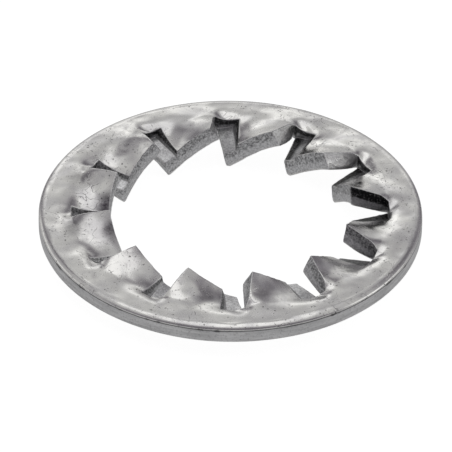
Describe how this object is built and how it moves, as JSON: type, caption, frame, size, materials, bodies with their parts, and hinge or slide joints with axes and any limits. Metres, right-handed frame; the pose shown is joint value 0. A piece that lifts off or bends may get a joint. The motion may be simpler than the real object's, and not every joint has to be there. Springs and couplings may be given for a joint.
{
  "type": "internal tooth lock washer",
  "caption": "Flat spring-steel ring with twisted, overlapping teeth round its hole that bite into the seat and the nut, bright zinc plated.",
  "frame": {"origin": "centre of the hole, at the level of the lowered tooth corners on which the washer lies", "axes": "+Z along the axis of the hole, up; +X through the middle of one tooth"},
  "size_m": [0.0205, 0.0204, 0.0027],
  "materials": {
    "zinc_plated_steel": "bright zinc plated, satin, with grey punched edges and small pits"
  },
  "bodies": {
    "root": {"washer": "zinc_plated_steel"}
  },
  "joints": []
}
